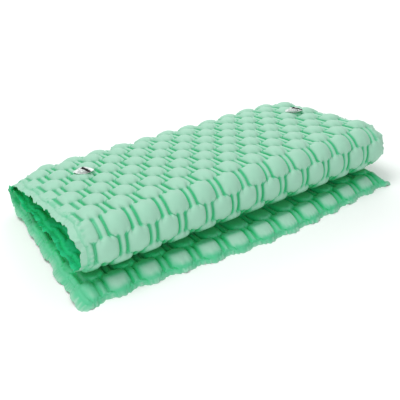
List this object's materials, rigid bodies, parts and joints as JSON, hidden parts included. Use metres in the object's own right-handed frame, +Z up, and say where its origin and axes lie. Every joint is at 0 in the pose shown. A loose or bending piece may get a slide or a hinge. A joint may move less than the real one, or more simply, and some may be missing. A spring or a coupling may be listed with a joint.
{
  "type": "inflatable sleeping mat",
  "caption": "Double inflatable cellular sleeping mat folded in three, with welded rims, a round front fold, a tight rear fold and clear capped valves on the top panel.",
  "frame": {"origin": "middle of the folded mat's footprint, on the floor", "axes": "+X along the fold lines, +Y from the free front edge of the base to the rear fold, +Z up"},
  "size_m": [1.196, 0.646, 0.2076],
  "materials": {
    "sleep_sheet": "matt coated woven fabric, mint green",
    "ground_sheet": "matt coated woven fabric, mint green",
    "clear_plastic": "clear soft plastic",
    "check_insert": "frosted",
    "silicone": "translucent white",
    "black_rubber": "satin black"
  },
  "bodies": {
    "base": {"base_sleep_sheet": "sleep_sheet", "base_ground_sheet": "ground_sheet"},
    "rear_fold_1": {"rear_fold_1_sleep_sheet": "sleep_sheet", "rear_fold_1_ground_sheet": "ground_sheet"},
    "rear_fold_2": {"rear_fold_2_sleep_sheet": "sleep_sheet", "rear_fold_2_ground_sheet": "ground_sheet"},
    "middle": {"middle_sleep_sheet": "sleep_sheet", "middle_ground_sheet": "ground_sheet"},
    "front_fold_1": {"front_fold_1_sleep_sheet": "sleep_sheet", "front_fold_1_ground_sheet": "ground_sheet"},
    "front_fold_2": {"front_fold_2_sleep_sheet": "sleep_sheet", "front_fold_2_ground_sheet": "ground_sheet"},
    "front_fold_3": {"front_fold_3_sleep_sheet": "sleep_sheet", "front_fold_3_ground_sheet": "ground_sheet"},
    "front_fold_4": {"front_fold_4_sleep_sheet": "sleep_sheet", "front_fold_4_ground_sheet": "ground_sheet"},
    "top": {"top_sleep_sheet": "sleep_sheet", "top_ground_sheet": "ground_sheet", "left_valve_body": "clear_plastic", "left_check_insert": "check_insert", "left_cap_hinge_foot": "clear_plastic", "right_valve_body": "clear_plastic", "right_check_insert": "check_insert", "right_cap_hinge_foot": "clear_plastic"},
    "left_cap": {"left_valve_cap": "clear_plastic", "left_pull_strap": "black_rubber", "left_strap_stud": "black_rubber"},
    "left_membrane": {"left_check_membrane": "silicone"},
    "right_cap": {"right_valve_cap": "clear_plastic", "right_pull_strap": "black_rubber", "right_strap_stud": "black_rubber"},
    "right_membrane": {"right_check_membrane": "silicone"}
  },
  "joints": [
    {"name": "rear_fold", "type": "hinge", "parent": "base", "child": "rear_fold_1", "pos_m": [0, 0.29396, 0.0235], "axis": [-1, 0, 0], "range_deg": [0, 60]},
    {"name": "rear_fold_second", "type": "hinge", "parent": "rear_fold_1", "child": "rear_fold_2", "pos_m": [0, 0.30781, 0.04749], "axis": [-1, 0, 0], "range_deg": [0, 60]},
    {"name": "rear_fold_third", "type": "hinge", "parent": "rear_fold_2", "child": "middle", "pos_m": [0, 0.29396, 0.07148], "axis": [-1, 0, 0], "range_deg": [0, 60]},
    {"name": "front_fold", "type": "hinge", "parent": "middle", "child": "front_fold_1", "pos_m": [0, -0.19904, 0.07148], "axis": [1, 0, 0], "range_deg": [0, 37.5]},
    {"name": "front_fold_second", "type": "hinge", "parent": "front_fold_1", "child": "front_fold_2", "pos_m": [0, -0.22998, 0.09522], "axis": [1, 0, 0], "range_deg": [0, 37.5]},
    {"name": "front_fold_third", "type": "hinge", "parent": "front_fold_2", "child": "front_fold_3", "pos_m": [0, -0.24008, 0.13289], "axis": [1, 0, 0], "range_deg": [0, 37.5]},
    {"name": "front_fold_fourth", "type": "hinge", "parent": "front_fold_3", "child": "front_fold_4", "pos_m": [0, -0.22515, 0.16892], "axis": [1, 0, 0], "range_deg": [0, 37.5]},
    {"name": "front_fold_fifth", "type": "hinge", "parent": "front_fold_4", "child": "top", "pos_m": [0, -0.19138, 0.18842], "axis": [1, 0, 0], "range_deg": [0, 37.5]},
    {"name": "left_cap_hinge", "type": "hinge", "parent": "top", "child": "left_cap", "pos_m": [-0.40837, 0.13107, 0.16534], "axis": [-0.9848, -0.1722, 0.0227], "range_deg": [0, 110]},
    {"name": "left_membrane_lift", "type": "slide", "parent": "top", "child": "left_membrane", "axis": [0, -0.1305, -0.9914], "range_m": [0, 0.0012], "stiffness_N_per_m": 40},
    {"name": "right_cap_hinge", "type": "hinge", "parent": "top", "child": "right_cap", "pos_m": [0.47201, 0.13042, 0.16542], "axis": [-0.9511, -0.3064, 0.0403], "range_deg": [0, 110]},
    {"name": "right_membrane_lift", "type": "slide", "parent": "top", "child": "right_membrane", "axis": [0, -0.1305, -0.9914], "range_m": [0, 0.0012], "stiffness_N_per_m": 40}
  ],
  "couplings": [
    {"joint": "rear_fold_second", "follows": "rear_fold", "ratio": 1},
    {"joint": "rear_fold_third", "follows": "rear_fold", "ratio": 1},
    {"joint": "front_fold_second", "follows": "front_fold", "ratio": 1},
    {"joint": "front_fold_third", "follows": "front_fold", "ratio": 1},
    {"joint": "front_fold_fourth", "follows": "front_fold", "ratio": 1},
    {"joint": "front_fold_fifth", "follows": "front_fold", "ratio": 1}
  ]
}
